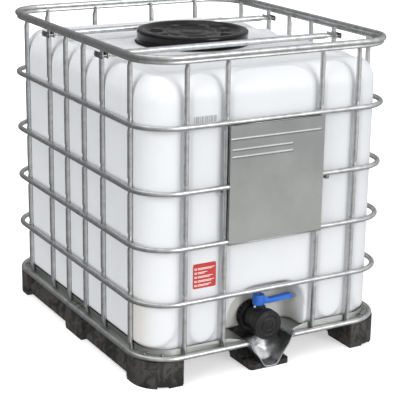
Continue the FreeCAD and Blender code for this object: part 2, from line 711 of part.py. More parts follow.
def runner_blank(x0, x1, web, spans):
    """Three feet on pads, joined by a web whose section is given, and hollow inside."""
    outline = rounded_block(RUNNER_OUT, RUNNER_END, 110.0, 0, FOOT_TOP)
    cap = inset_block(2 * TUBE_R + 0.5, FOOT_TOP, FLOOR_UNDER)
    inner = rounded_block(RUNNER_OUT - RUNNER_WALL, RUNNER_END - RUNNER_WALL, 97.0, 0, FOOT_TOP)
    solids = []
    cavities = []
    for y0, y1 in spans:
        solids.append(box(x0, x1, y0, y1, PAD, FOOT_TOP).common(outline))
        solids.append(box(x0, x1, y0, y1, FOOT_TOP, FLOOR_UNDER).common(cap))
        pad_x = (x1 - x0) * 0.36
        for px0, px1 in ((x0, x0 + pad_x), (x1 - pad_x, x1)):
            solids.append(box(px0, px1, y0 + 4, y1 - 4, 0, PAD).common(outline))
        cavity = box(x0 + RUNNER_WALL, x1 - RUNNER_WALL, y0 + RUNNER_WALL, y1 - RUNNER_WALL,
                     PAD + RUNNER_WALL, CAVITY_TOP)
        cavities.append(cavity.common(inner))
    for y0, y1 in ((spans[0][1], spans[1][0]), (spans[1][1], spans[2][0])):
        solids.append(prism_along_y(web, y0, y1))
        low = WEB_LOW + RUNNER_WALL
        span = [x for x, z in web]
        side = RUNNER_WALL + 20
        cavities.append(box(min(span) + side, max(span) - side - 12, y0 + RUNNER_WALL,
                            y1 - RUNNER_WALL, low, CAVITY_TOP))
    return fuse(solids).cut(Part.makeCompound(cavities)).cut(base_holes(FLOOR_TOP - 30, FLOOR_TOP))


def side_runner(side):
    """An outer runner: its web leans in towards the top on the outside."""
    web = [(RUNNER_IN + 4, WEB_LOW), (RUNNER_OUT - 12, WEB_LOW), (RUNNER_OUT - 14, WEB_LOW + 26),
           (RUNNER_OUT - 46, FOOT_TOP), (RUNNER_OUT - 46, FLOOR_UNDER), (RUNNER_IN + 4, FLOOR_UNDER)]
    runner = runner_blank(RUNNER_IN, RUNNER_OUT, web, FOOT_SPANS)
    if side < 0:
        runner = runner.mirror(Vector(0, 0, 0), X_AXIS)
    return runner


def centre_runner():
    """The middle runner: ahead of its front foot a thin board reaches out under the chute."""
    half = CENTRE_HALF - 4
    web = [(-half, WEB_LOW), (half, WEB_LOW), (half - 16, FLOOR_UNDER), (16 - half, FLOOR_UNDER)]
    spans = ((CENTRE_FOOT_FRONT, FOOT_SPANS[0][1]),) + FOOT_SPANS[1:]
    runner = runner_blank(-CENTRE_HALF, CENTRE_HALF, web, spans)
    fill_half = CENTRE_HALF - FILL_INSET
    fill_front = CENTRE_FOOT_FRONT + FILL_INSET
    fill = box(-fill_half, fill_half, fill_front, spans[0][1] - FILL_INSET, PAD, CAVITY_TOP + 1)
    board = box(-CENTRE_HALF, CENTRE_HALF, -RUNNER_END, fill_front, 0, BOARD_TOP)
    front = [edge for edge in board.Edges
             if edge.BoundBox.ZLength > 1 and edge.BoundBox.YMax < 1 - RUNNER_END]
    runner = fuse([runner, fill, board.makeFillet(BOARD_CORNER_R, front)]).cut(chute_room(CHUTE_T + 0.5))
    return runner.cut(outlet_cylinder(NECK_ROOM_R, -HALF_Y, CHUTE_BACK + 4))


# ---- writing the nodes ------------------------------------------------------------------------------
def main():
    for name, z in zip(("rail_bottom", "rail_lower", "rail_upper", "rail_top"), RAIL_HEIGHTS):
        save(ring_tube(z), name)
    for name, (x, y) in upright_places().items():
        save(upright(x, y), name)
    save(ring_tube(RIM_Z, CUTOUT_HALF), "base_rim_tube")
    save(crossbar(-BAR_Y), "crossbar_front")
    save(crossbar(BAR_Y), "crossbar_rear")
    save(side_runner(-1), "runner_left")
    save(side_runner(1), "runner_right")
    for make in (top_rim, rim_sleeve, crossbar_clamps, crossbar_bolts, label_panel, panel_clips,
                 bottle, bottle_label, neck_collar, lid_gasket, lid, union_nut, outlet_seal,
                 valve_body, stem_seal, valve_stem, valve_disc, valve_lever, lever_screw, seal_pin,
                 outlet_cap, cap_gasket, base_tray, valve_chute, hold_down_plates, base_bolts,
                 chute_bolts, centre_runner):
        save(make(), make.__name__)


main()
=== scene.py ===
import math

import bmesh
import bpy
import numpy as np
from mathutils import Matrix, Vector
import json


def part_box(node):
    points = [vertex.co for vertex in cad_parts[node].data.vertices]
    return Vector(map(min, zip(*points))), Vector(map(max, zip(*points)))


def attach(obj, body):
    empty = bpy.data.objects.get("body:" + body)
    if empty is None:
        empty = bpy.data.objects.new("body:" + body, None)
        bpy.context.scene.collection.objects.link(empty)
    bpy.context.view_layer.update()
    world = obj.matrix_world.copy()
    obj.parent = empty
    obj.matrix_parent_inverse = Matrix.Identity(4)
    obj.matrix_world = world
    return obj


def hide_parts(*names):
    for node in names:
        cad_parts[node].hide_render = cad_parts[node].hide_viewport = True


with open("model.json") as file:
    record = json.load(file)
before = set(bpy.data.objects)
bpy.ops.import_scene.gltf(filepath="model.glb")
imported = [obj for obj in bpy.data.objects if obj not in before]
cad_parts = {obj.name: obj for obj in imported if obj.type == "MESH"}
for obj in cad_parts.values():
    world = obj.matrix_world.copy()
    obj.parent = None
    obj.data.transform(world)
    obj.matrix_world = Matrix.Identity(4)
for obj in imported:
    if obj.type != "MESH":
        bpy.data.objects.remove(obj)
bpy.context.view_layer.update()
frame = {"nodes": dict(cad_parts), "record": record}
NODES = frame["nodes"]
BODY_OF = {node: body for body, members in frame["record"]["behaviour"]["bodies"].items()
           for node in members}
SLOT_OF = {part["node"]: part["material_slot"] for part in frame["record"]["subparts"]}
MM = 0.001


def middle(node):
    low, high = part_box(node)
    return (low + high) / 2


# ---- sizes worked out from the frame ----
RAILS = ("rail_bottom", "rail_lower", "rail_upper", "rail_top")
RAIL_Z = [middle(node).z for node in RAILS]
HALF_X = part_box("rail_top")[1].x
HALF_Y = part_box("rail_top")[1].y
TUBE_R = (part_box("rail_top")[1].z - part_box("rail_top")[0].z) / 2
CORNER_R = 144 * MM              # the ring rails' corners, at the outside of the tube
UPRIGHTS = [node for node in NODES if node.startswith("upright_")]
BOTTLE_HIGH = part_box("bottle")[1]
BAY_OUT = 3 * MM                 # the bays stand this far outside the plain bottle
BOTTLE_HALF_X = BOTTLE_HIGH.x + BAY_OUT
BOTTLE_HALF_Y = BOTTLE_HIGH.y + BAY_OUT
DECK_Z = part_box("neck_collar")[0].z
FLOOR_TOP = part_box("upright_left_1")[0].z


# ---- shader helpers ----
def fill_ramp(node, stops):
    """Sets a colour ramp's stops, each a place from 0 to 1 and a colour."""
    elements = node.color_ramp.elements
    while len(elements) < len(stops):
        elements.new(0.5)
    for element, (place, colour) in zip(elements, stops):
        element.position = place
        element.color = (*colour, 1.0)


class Nodes:
    """Builds one node material; every method returns an output socket."""

    def __init__(self, name):
        self.material = bpy.data.materials.new(name)
        self.material.use_nodes = True
        self.tree = self.material.node_tree
        self.shader = self.tree.nodes["Principled BSDF"]
        self.coords = self.tree.nodes.new("ShaderNodeTexCoord").outputs["Object"]

    def set(self, **values):
        for key, value in values.items():
            self.shader.inputs[key.replace("_", " ")].default_value = value

    def link(self, output, socket):
        self.tree.links.new(output, self.shader.inputs[socket])

    def mapped(self, scale, rotation=(0, 0, 0)):
        node = self.tree.nodes.new("ShaderNodeMapping")
        node.inputs["Scale"].default_value = scale
        node.inputs["Rotation"].default_value = rotation
        self.tree.links.new(self.coords, node.inputs["Vector"])
        return node.outputs["Vector"]

    def noise(self, scale, detail=3.0, rough=0.55, vector=None, distortion=0.0):
        node = self.tree.nodes.new("ShaderNodeTexNoise")
        node.inputs["Scale"].default_value = scale
        node.inputs["Detail"].default_value = detail
        node.inputs["Roughness"].default_value = rough
        node.inputs["Distortion"].default_value = distortion
        self.tree.links.new(vector or self.coords, node.inputs["Vector"])
        return node.outputs["Fac"]

    def cells(self, scale, vector):
        node = self.tree.nodes.new("ShaderNodeTexVoronoi")
        node.inputs["Scale"].default_value = scale
        self.tree.links.new(vector, node.inputs["Vector"])
        return node.outputs["Distance"]

    def ramp(self, value, stops):
        node = self.tree.nodes.new("ShaderNodeValToRGB")
        fill_ramp(node, stops)
        self.tree.links.new(value, node.inputs["Fac"])
        return node.outputs["Color"]

    def mix(self, factor, first, second, blend="MIX"):
        node = self.tree.nodes.new("ShaderNodeMix")
        node.data_type = "RGBA"
        node.blend_type = blend
        for socket, value in ((node.inputs[0], factor), (node.inputs[6], first),
                              (node.inputs[7], second)):
            if isinstance(value, bpy.types.NodeSocket):
                self.tree.links.new(value, socket)
            elif isinstance(value, tuple):
                socket.default_value = (*value, 1.0)
            else:
                socket.default_value = value
        return node.outputs[2]

    def span(self, value, low, high):
        node = self.tree.nodes.new("ShaderNodeMapRange")
        node.inputs["To Min"].default_value = low
        node.inputs["To Max"].default_value = high
        self.tree.links.new(value, node.inputs["Value"])
        return node.outputs["Result"]

    def along(self, axis, start, end, low, high):
        """Runs from low to high between two places on an axis, in metres."""
        split = self.tree.nodes.new("ShaderNodeSeparateXYZ")
        self.tree.links.new(self.coords, split.inputs["Vector"])
        node = self.tree.nodes.new("ShaderNodeMapRange")
        node.interpolation_type = "SMOOTHSTEP"
        for name, value in (("From Min", start), ("From Max", end), ("To Min", low), ("To Max", high)):
            node.inputs[name].default_value = value
        self.tree.links.new(split.outputs[axis], node.inputs["Value"])
        return node.outputs["Result"]

    def product(self, first, second):
        node = self.tree.nodes.new("ShaderNodeMath")
        node.operation = "MULTIPLY"
        self.tree.links.new(first, node.inputs[0])
        self.tree.links.new(second, node.inputs[1])
        return node.outputs["Value"]

    def bump(self, height, strength, distance, normal=None):
        node = self.tree.nodes.new("ShaderNodeBump")
        node.inputs["Strength"].default_value = strength
        node.inputs["Distance"].default_value = distance
        self.tree.links.new(height, node.inputs["Height"])
        if normal is not None:
            self.tree.links.new(normal, node.inputs["Normal"])
        return node.outputs["Normal"]


# ---- materials ----
def galvanised_tube():
    """Hot-dip zinc on drawn tube: satin, slightly mottled, with fine drawing lines."""
    m = Nodes("galvanised_tube")
    m.set(Metallic=1.0)
    mottle = m.noise(38, 4)
    fine = m.noise(420, 2)
    tone = m.ramp(mottle, [(0.3, (0.42, 0.425, 0.42)), (0.52, (0.56, 0.565, 0.56)),
                           (0.75, (0.68, 0.685, 0.69))])
    m.link(m.mix(m.span(fine, 0.0, 0.3), tone, (0.76, 0.77, 0.78)), "Base Color")
    m.link(m.span(mottle, 0.22, 0.42), "Roughness")
    m.link(m.bump(fine, 0.12, 0.0004, m.bump(mottle, 0.25, 0.001)), "Normal")
    return m.material


def galvanised_sheet():
    """Zinc-coated sheet: a soft grey bloom with faint crystal edges, with painted light low down and
    painted shade towards the top.
    """
    m = Nodes("galvanised_sheet")
    m.set(Metallic=1.0)
    warp = m.noise(30, 3)
    edge = m.cells(95, m.mapped((1, 1, 1), (0.4, 0.3, 0.2)))
    broad = m.noise(7, 3)
    tone = m.ramp(broad, [(0.3, (0.30, 0.31, 0.30)), (0.7, (0.40, 0.41, 0.40))])
    tone = m.mix(m.span(warp, 0.0, 0.3), tone, (0.46, 0.47, 0.46))
    # painted light on the low sheet and painted shade towards its top, mixed in by height
    tone = m.mix(m.along("Z", 0.45, 0.9, 0.4, 0.0), tone, (0.52, 0.54, 0.50))
    m.link(m.mix(m.along("Z", 0.60, 0.95, 0.0, 0.3), tone, (0.24, 0.255, 0.25)), "Base Color")
    m.link(m.span(m.noise(55, 4), 0.34, 0.50), "Roughness")
    m.link(m.bump(edge, 0.03, 0.0004, m.bump(warp, 0.1, 0.0008)), "Normal")
    return m.material


def bright_sheet():
    """The same coating where the sheet was pressed and polished by use: shiny and dented."""
    m = Nodes("bright_sheet")
    m.set(Metallic=1.0)
    dents = m.noise(26, 3, 0.5, None, 0.6)
    m.link(m.ramp(dents, [(0.35, (0.36, 0.365, 0.37)), (0.65, (0.66, 0.67, 0.68))]), "Base Color")
    m.link(m.span(m.noise(60, 3), 0.28, 0.46), "Roughness")
    m.link(m.bump(dents, 0.55, 0.006), "Normal")
    return m.material


def zinc_fastener():
    m = Nodes("zinc_fastener")
    m.set(Metallic=1.0)
    m.link(m.ramp(m.noise(160, 3), [(0.3, (0.22, 0.215, 0.20)), (0.7, (0.48, 0.47, 0.44))]),
           "Base Color")
    m.link(m.span(m.noise(300, 2), 0.28, 0.5), "Roughness")
    return m.material


def bottle_plastic():
    """Natural polyethylene: milky white and uneven, with painted shade, darker and warmer, deepening into
    the valve pocket.
    """
    m = Nodes("bottle_plastic")
    m.set(IOR=1.5, Subsurface_Weight=0.12, Subsurface_Scale=0.02)
    m.set(Subsurface_Radius=(1.0, 1.0, 1.0))
    broad = m.noise(2.6, 3)
    streak = m.noise(9, 4, vector=m.mapped((1, 1, 0.25)))
    base = m.ramp(broad, [(0.3, (0.72, 0.745, 0.77)), (0.7, (0.79, 0.805, 0.82))])
    skin = m.mix(m.span(streak, 0.0, 0.25), base, (0.88, 0.89, 0.90))
    # painted shade: a darker, warmer tone that deepens towards the back of the valve pocket, kept to the
    # low front of the bottle
    pocket = m.mix(m.along("Y", -0.552, -0.47, 0.0, 0.6), skin, (0.66, 0.63, 0.56))
    low_part = m.along("Z", 0.27, 0.34, 1.0, 0.0)
    front = m.along("Y", -0.43, -0.40, 1.0, 0.0)
    m.link(m.mix(m.product(low_part, front), skin, pocket), "Base Color")
    m.link(m.span(m.noise(60, 3), 0.34, 0.5), "Roughness")
    m.link(m.bump(m.noise(120, 3), 0.06, 0.001, m.bump(broad, 0.2, 0.004)), "Normal")
    return m.material


def recycled_plastic():
    """Black runner moulding with grey and brown flow marks and a rough, sunken skin."""
    m = Nodes("recycled_plastic")
    flow = m.noise(24, 6, 0.7, m.mapped((1.0, 0.8, 0.6), (0.2, 0.1, 0.5)), 0.7)
    broad = m.noise(5, 3)
    speck = m.noise(95, 4, 0.7)
    tone = m.ramp(flow, [(0.38, (0.004, 0.004, 0.004)), (0.47, (0.020, 0.019, 0.018)),
                         (0.56, (0.085, 0.080, 0.075)), (0.66, (0.012, 0.012, 0.011))])
    tone = m.mix(m.span(broad, 0.0, 0.6), tone, (0.026, 0.025, 0.024))
    m.link(m.mix(m.span(speck, 0.0, 0.25), tone, (0.05, 0.048, 0.046)), "Base Color")
    m.set(Specular_IOR_Level=0.3)
    m.link(m.span(speck, 0.42, 0.72), "Roughness")
    m.link(m.bump(speck, 0.35, 0.0015, m.bump(flow, 0.3, 0.003)), "Normal")
    return m.material


def moulded(name, low, high, rough, grain, shine=0.32):
    """Small moulded parts: a fine grain, worn lighter from the low colour to the high one."""
    m = Nodes(name)
    m.set(Specular_IOR_Level=shine)
    wear = m.noise(26, 4)
    m.link(m.ramp(wear, [(0.35, low), (0.75, high)]), "Base Color")
    m.link(m.span(m.noise(70, 3), rough - 0.08, rough + 0.1), "Roughness")
    m.link(m.bump(m.noise(grain, 3), 0.12, 0.0005), "Normal")
    return m.material


def label_red():
    """The red film: smooth, with a slightly uneven tint."""
    m = Nodes("label_red")
    m.set(Roughness=0.35)
    tint = m.noise(40, 2)
    m.link(m.ramp(tint, [(0.3, (0.44, 0.028, 0.024)), (0.7, (0.54, 0.045, 0.038))]), "Base Color")
    m.link(m.bump(m.noise(220, 2), 0.05, 0.0004), "Normal")
    return m.material


def plain_print(name, low, high):
    m = Nodes(name)
    m.set(Roughness=0.5)
    m.link(m.ramp(m.noise(150, 2), [(0.3, low), (0.7, high)]), "Base Color")
    return m.material


MATERIALS = {
    "galvanised_tube": galvanised_tube(),
    "galvanised_sheet": galvanised_sheet(),
    "zinc_fastener": zinc_fastener(),
    "bottle_plastic": bottle_plastic(),
    "recycled_plastic": recycled_plastic(),
    "lid_plastic": moulded("lid_plastic", (0.004, 0.004, 0.005), (0.008, 0.008, 0.009), 0.15, 160, 0.22),
    "valve_plastic": moulded("valve_plastic", (0.008, 0.008, 0.008), (0.024, 0.024, 0.024), 0.4, 240),
    "seal_rubber": moulded("seal_rubber", (0.012, 0.012, 0.012), (0.03, 0.03, 0.03), 0.62, 300),
    "lever_blue": moulded("lever_blue", (0.03, 0.15, 0.62), (0.06, 0.22, 0.74), 0.33, 200),
    "pin_white": moulded("pin_white", (0.74, 0.76, 0.78), (0.86, 0.87, 0.88), 0.35, 200),
    "label_red": label_red(),
}
BRIGHT_SHEET = bright_sheet()
PRINT_PALE = plain_print("print_pale", (0.80, 0.74, 0.72), (0.88, 0.82, 0.80))
PRINT_GREY = plain_print("print_grey", (0.30, 0.31, 0.33), (0.44, 0.45, 0.47))


# ---- mesh helpers ----
def linked(name, data):
    """A new object in the scene for a mesh, light or camera."""
    item = bpy.data.objects.new(name, data)
    bpy.context.scene.collection.objects.link(item)
    return item


def plain_mesh(name, verts, faces):
    mesh = bpy.data.meshes.new(name)
    mesh.from_pydata([tuple(v) for v in verts], [], faces)
    mesh.update()
    return linked(name, mesh)


def add_piece(name, verts, faces, node, smooth=True):
    """A new mesh that rides with the node's body and takes the node's material."""
    return dress(plain_mesh(name, verts, faces), node, smooth)


def dress(piece, node, smooth=True):
    slot = SLOT_OF[node]
    piece.data.materials.clear()
    piece.data.materials.append(MATERIALS[slot])
    if smooth:
        piece.data.shade_smooth()
    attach(piece, BODY_OF[node])
    return piece


def apply_modifiers(piece):
    """Replaces the piece's mesh by the one its modifiers make."""
    graph = bpy.context.evaluated_depsgraph_get()
    mesh = bpy.data.meshes.new_from_object(piece.evaluated_get(graph))
    piece.modifiers.clear()
    old = piece.data
    piece.data = mesh
    bpy.data.meshes.remove(old)


def sharpen(piece, degrees):
    """Shades edges steeper than this as sharp ones."""
    piece.data.set_sharp_from_angle(angle=math.radians(degrees))


def sheet_wall(piece, thickness, offset):
    """Gives an open sheet its wall, once the modifiers are applied."""
    wall = piece.modifiers.new("sheet", "SOLIDIFY")
    wall.thickness = thickness
    wall.offset = offset


def rounder(piece):
    """Subdivides the piece twice, once the modifiers are applied."""
    smooth = piece.modifiers.new("round", "SUBSURF")
    smooth.levels = smooth.render_levels = 2


def fix_normals(piece):
    work = bmesh.new()
    work.from_mesh(piece.data)
    bmesh.ops.recalc_face_normals(work, faces=work.faces)
    work.to_mesh(piece.data)
    work.free()


def ring_faces(rows, columns, wrap_rows=False, wrap_columns=True):
    """Quads over a grid of points stored row by row."""
    faces = []
    last_row = rows if wrap_rows else rows - 1
    last_column = columns if wrap_columns else columns - 1
    for row in range(last_row):
        here = row * columns
        there = (row + 1) % rows * columns
        for column in range(last_column):
            after = (column + 1) % columns
            faces.append((here + column, here + after, there + after, there + column))
    return faces


OUTLINE_STEP = 0.014             # spacing of points on the straight sides
OUTLINE_TURNS = 18               # points round each corner


def outline(inset, gap=0.0):
    """Points round the outline moved in by inset, from the middle of the front side.

    Each is (x, y, normal x, normal y).  gap leaves out that much each side of the start.
    """
    radius = CORNER_R - inset
    corner_x = HALF_X - CORNER_R
    corner_y = HALF_Y - CORNER_R
    legs = [
        ((gap, -1), (corner_x, -1), (0, -1)), ((1, -corner_y), (1, corner_y), (1, 0)),
        ((corner_x, 1), (-corner_x, 1), (0, 1)), ((-1, corner_y), (-1, -corner_y), (-1, 0)),
        ((-corner_x, -1), (-gap, -1), (0, -1)),
    ]
    points = []
    for index, (start, end, normal) in enumerate(legs):
        if normal[0] == 0:
            y = normal[1] * (HALF_Y - inset)
            a, b = Vector((start[0], y)), Vector((end[0], y))
        else:
            x = normal[0] * (HALF_X - inset)
            a, b = Vector((x, start[1])), Vector((x, end[1]))
        count = max(2, round((b - a).length / OUTLINE_STEP))
        closing = index == 4 and gap == 0
        for k in range(count if closing else count + 1):
            p = a.lerp(b, k / count)
            points.append((p.x, p.y, *normal))
        if index < 4:
            first = math.atan2(normal[1], normal[0])
            pivot = (math.copysign(corner_x, b.x), math.copysign(corner_y, b.y))
            for k in range(1, OUTLINE_TURNS):
                angle = first + math.pi / 2 * k / OUTLINE_TURNS
                nx, ny = math.cos(angle), math.sin(angle)
                points.append((pivot[0] + radius * nx, pivot[1] + radius * ny, nx, ny))
    return points


def sweep(path, z, section):
    """Carries section(point) round a path; its (outward, up) offsets are in metres."""
    verts = []
    columns = 0
    for x, y, nx, ny in path:
        profile = section(x, y)
        columns = len(profile)
        for out, up in profile:
            verts.append((x + nx * out, y + ny * out, z + up))
    return verts, columns


def capped(faces, rows, columns):
    """Closes both ends of an open sweep."""
    last = (rows - 1) * columns
    return faces + [tuple(range(columns - 1, -1, -1)), tuple(range(last, last + columns))]


WELD_GAP = 2e-6
FLAT_ANGLE = 1.0                 # faces that turn less than this, in degrees, become one
EDGE_ANGLE = 32                  # edges that turn more than this are rounded over
CREASE_ANGLE = 38


def softened(node, width):
    """A rebuilt copy of a CAD node with its sharp edges rounded over, in the node's place."""
    piece = linked(node + "_moulding", NODES[node].data.copy())
    work = bmesh.new()
    work.from_mesh(piece.data)
    bmesh.ops.remove_doubles(work, verts=work.verts, dist=WELD_GAP)
    bmesh.ops.dissolve_limit(work, angle_limit=math.radians(FLAT_ANGLE), verts=work.verts,
                             edges=work.edges)
    work.to_mesh(piece.data)
    work.free()
    bevel = piece.modifiers.new("edges", "BEVEL")
    bevel.limit_method = "ANGLE"
    bevel.angle_limit = math.radians(EDGE_ANGLE)
    bevel.width = width
    bevel.segments = 2
    apply_modifiers(piece)
    dress(piece, node)
    sharpen(piece, CREASE_ANGLE)
    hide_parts(node)


# ---- cage ----
UPRIGHT_PLACES = {node: middle(node) for node in UPRIGHTS}
RING_SIDES = 20
PRESS_WIDTH = 0.011              # a ring is pressed in over this length beside an upright
PRESS_DEPTH = 1.6 * MM
PRESS_SWELL = 0.05               # and grows this much higher there
BASE_RIM_GAP = 90.5 * MM         # half the opening that the trough fills


def near_upright(x, y):
    """1 where the ring passes an upright, falling to 0 beside it."""
    gap = min(math.hypot(p.x - x, p.y - y) for p in UPRIGHT_PLACES.values()) - 2 * TUBE_R
    return math.exp(-(max(gap, 0) / PRESS_WIDTH) ** 2)


def ring_section(x, y):
    """The ring tube's section, pressed in on its inner side where it meets an upright."""
    press = near_upright(x, y)
    profile = []
    for k in range(RING_SIDES):
        a = 2 * math.pi * k / RING_SIDES
        out, up = TUBE_R * math.cos(a), TUBE_R * math.sin(a)
        if out < 0:
            out += PRESS_DEPTH * press * (-math.cos(a)) ** 2
        profile.append((out, up * (1 + PRESS_SWELL * press)))
    return profile


def ring(name, node, z, gap=0.0):
    path = outline(TUBE_R, gap=gap)
    verts, columns = sweep(path, z, ring_section)
    faces = ring_faces(len(path), columns, wrap_rows=gap == 0)
    if gap:
        faces = capped(faces, len(path), columns)
    piece = add_piece(name, verts, faces, node)
    fix_normals(piece)
    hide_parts(node)


def top_rim():
    """Two lobes in one profile; the lower one hides a little further in at the corners."""
    upper_r = 10 * MM
    lower_r = 6 * MM
    drop = 15.5 * MM
    upper = [math.radians(-62 + 304 * k / 23) for k in range(24)]
    lower = [math.radians(124 + 292 * k / 13) for k in range(14)]

    def section(x, y):
        corner = min(1.0, max(0.0, (abs(x) + abs(y) - (HALF_X + HALF_Y - CORNER_R)) / 0.05))
        lower_in = -2 * MM - 2 * MM * corner
        profile = [(upper_r * math.cos(a), upper_r * math.sin(a)) for a in upper]
        profile += [(lower_in + lower_r * math.cos(a), -drop + lower_r * math.sin(a)) for a in lower]
        return profile

    path = outline(upper_r)
    verts, columns = sweep(path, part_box("top_rim")[1].z - upper_r, section)
    piece = add_piece("top_rim_tube", verts, ring_faces(len(path), columns, wrap_rows=True),
                      "top_rim")
    fix_normals(piece)
    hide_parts("top_rim")


def smooth_step(value):
    value = np.clip(value, 0.0, 1.0)
    return value * value * (3 - 2 * value)


UPRIGHT_SIDES = 24
RAIL_REACH = 0.034               # the pinches lie within this distance of a rail's middle
END_REACH = 0.05                 # the flattened ends lie within this length
DIMPLE_OFFSET = 0.019            # from a rail's middle to the pinch on each side of it


def upright(node):
    """A tube pinched beside each rail and pressed flat at both ends."""
    place = UPRIGHT_PLACES[node]
    low, high = (corner.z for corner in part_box(node))
    outward = Vector((0, math.copysign(1, place.y), 0))
    if "left" in node or "right" in node:
        outward = Vector((math.copysign(1, place.x), 0, 0))
    across = Vector((-outward.y, outward.x, 0))
    heights = set(np.arange(low, high, 0.02)) | {low, high}
    for z in RAIL_Z:
        heights |= set(np.arange(z - RAIL_REACH, z + RAIL_REACH + 0.0001, 0.0034))
    heights |= set(np.arange(high - END_REACH, high, 0.004))
    heights |= set(np.arange(low, low + END_REACH, 0.004))
    heights = sorted(z for z in heights if low <= z <= high)
    angles = [2 * math.pi * k / UPRIGHT_SIDES for k in range(UPRIGHT_SIDES)]
    verts = []
    for z in heights:
        crossing = sum(math.exp(-((z - rail) / 0.010) ** 2) for rail in RAIL_Z)
        dimple = sum(math.exp(-((abs(z - rail) - DIMPLE_OFFSET) / 0.0062) ** 2) for rail in RAIL_Z)
        top_flat = float(smooth_step(1 - (high - z) / 0.034))
        low_flat = float(smooth_step(1 - (z - low) / 0.030))
        flat = max(top_flat, low_flat)
        wide = TUBE_R * (1 + 0.09 * crossing - 0.13 * dimple + 0.22 * flat)
        for a in angles:
            side, out = wide * math.cos(a), TUBE_R * math.sin(a)
            facing = max(0.0, math.sin(a))
            if out > 0:
                out -= 1.2 * MM * crossing * facing
                out -= 5.4 * MM * dimple * facing ** 3
                out = out * (1 - flat) + flat * (-7.0 * MM * (1 - math.cos(a) ** 2) + 0.5 * MM)
            else:
                out *= 1 - 0.08 * crossing
            if flat > 0 and out < 0 and math.sin(a) < 0:
                out = min(out, -0.3 * MM)
            verts.append(Vector((place.x, place.y, z)) + across * side + outward * out)
    faces = capped(ring_faces(len(heights), UPRIGHT_SIDES), len(heights), UPRIGHT_SIDES)
    piece = add_piece(node + "_tube", verts, faces, node)
    fix_normals(piece)
    sharpen(piece, 70)
    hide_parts(node)


def rim_splice():
    """The sleeve over the joint in the rear of the rim, with a rolled edge at each end."""
    low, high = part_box("rim_sleeve")
    centre_y = HALF_Y - 10 * MM
    centre_z = high.z - 11.2 * MM
    inner = 10.05 * MM
    spots = [(low.x, 10.5), (low.x + 0.003, 11.2), (low.x + 0.006, 10.9), (-0.002, 10.9),
             (0.0, 10.6), (0.002, 10.9), (high.x - 0.006, 10.9), (high.x - 0.003, 11.2),
             (high.x, 10.5)]
    count = 22
    angles = [math.radians(-28 + 236 * k / (count - 1)) for k in range(count)]
    verts = []
    for x, radius in spots:
        for reach in (radius * MM, inner):
            order = angles if reach != inner else angles[::-1]
            for a in order:
                verts.append((x, centre_y + reach * math.cos(a), centre_z + reach * math.sin(a)))
    columns = 2 * count
    faces = capped(ring_faces(len(spots), columns), len(spots), columns)
    piece = add_piece("rim_splice_sleeve", verts, faces, "rim_sleeve")
    fix_normals(piece)
    sharpen(piece, 50)
    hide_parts("rim_sleeve")


def build_cage():
    for index, (node, z) in enumerate(zip(RAILS, RAIL_Z), 1):
        ring("ring_rail_%d" % index, node, z)
    ring("base_rim_ring", "base_rim_tube", middle("base_rim_tube").z, BASE_RIM_GAP)
    top_rim()
    rim_splice()
    for node in UPRIGHTS:
        upright(node)


# ---- bottle ----
BAY_RISE = 11 * MM               # how far the bays stand out from the grooves
GROOVE_HALF = 14 * MM
SHOULDER_R = 84 * MM
FOOT_R = 34 * MM
BODY_CORNER_R = 104 * MM
BAY_CORNER_R = 92 * MM
BAY_EDGE = 12 * MM               # the bay's rim rises over this width
SIDE_STEPS = {"x": 86, "y": 112}
CORNER_STEPS = 26
FOOT_STEPS, WALL_STEPS, SHOULDER_STEPS = 10, 92, 16
FOOT_START = 62                  # the bays start at this angle round the foot, in degrees
SHOULDER_END = 74                # and end at this angle round the shoulder
DECK_SINK = 3 * MM               # the deck's edge lies this far below its middle
VOXEL = 0.0068
WALL = 3 * MM
MOUTH_R = 178 * MM               # the hole that the filler neck fills


def body_outline(inset):
    """Points (x, y, normal x, normal y, run length) round the bottle's rounded section."""
    half_x = BOTTLE_HALF_X - BAY_RISE - inset
    half_y = BOTTLE_HALF_Y - BAY_RISE - inset
    radius = max(BODY_CORNER_R - inset, 12 * MM)
    cx, cy = half_x - radius, half_y - radius
    arc = BODY_CORNER_R * math.pi / 2
    points = []
    run = 0.0
    length_x = 2 * (BOTTLE_HALF_X - BAY_RISE - BODY_CORNER_R)
    length_y = 2 * (BOTTLE_HALF_Y - BAY_RISE - BODY_CORNER_R)
    plan = [
        ("x", -half_y, cx, (0, -1), length_x), ("y", half_x, cy, (1, 0), length_y),
        ("x", half_y, -cx, (0, 1), length_x), ("y", -half_x, -cy, (-1, 0), length_y),
    ]
    for kind, fixed, reach, normal, length in plan:
        steps = SIDE_STEPS[kind]
        for k in range(steps):
            t = -1 + 2 * k / steps
            spot = (t * reach, fixed) if kind == "x" else (fixed, t * reach)
            points.append((*spot, *normal, run + length * k / steps))
        run += length
        pivot = {(0, -1): (cx, -cy), (1, 0): (cx, cy), (0, 1): (-cx, cy), (-1, 0): (-cx, -cy)}[normal]
        first = math.atan2(normal[1], normal[0])
        for k in range(CORNER_STEPS):
            angle = first + math.pi / 2 * k / CORNER_STEPS
            nx, ny = math.cos(angle), math.sin(angle)
            points.append((pivot[0] + radius * nx, pivot[1] + radius * ny, nx, ny,
                           run + arc * k / CORNER_STEPS))
        run += arc
    return points


def groove_runs():
    """Where the grooves cross the section's run length, with the total length."""
    corner_x = BOTTLE_HALF_X - BAY_RISE - BODY_CORNER_R
    corner_y = BOTTLE_HALF_Y - BAY_RISE - BODY_CORNER_R
    arc = BODY_CORNER_R * math.pi / 2
    runs = []
    for node, place in UPRIGHT_PLACES.items():
        if "front" in node:
            runs.append(corner_x + place.x)
        elif "right" in node:
            runs.append(2 * corner_x + arc + corner_y + place.y)
        elif "rear" in node:
            runs.append(2 * corner_x + 2 * corner_y + 2 * arc + corner_x - place.x)
        else:
            runs.append(4 * corner_x + 2 * corner_y + 3 * arc + corner_y - place.y)
    return sorted(runs), 4 * (corner_x + corner_y + arc)


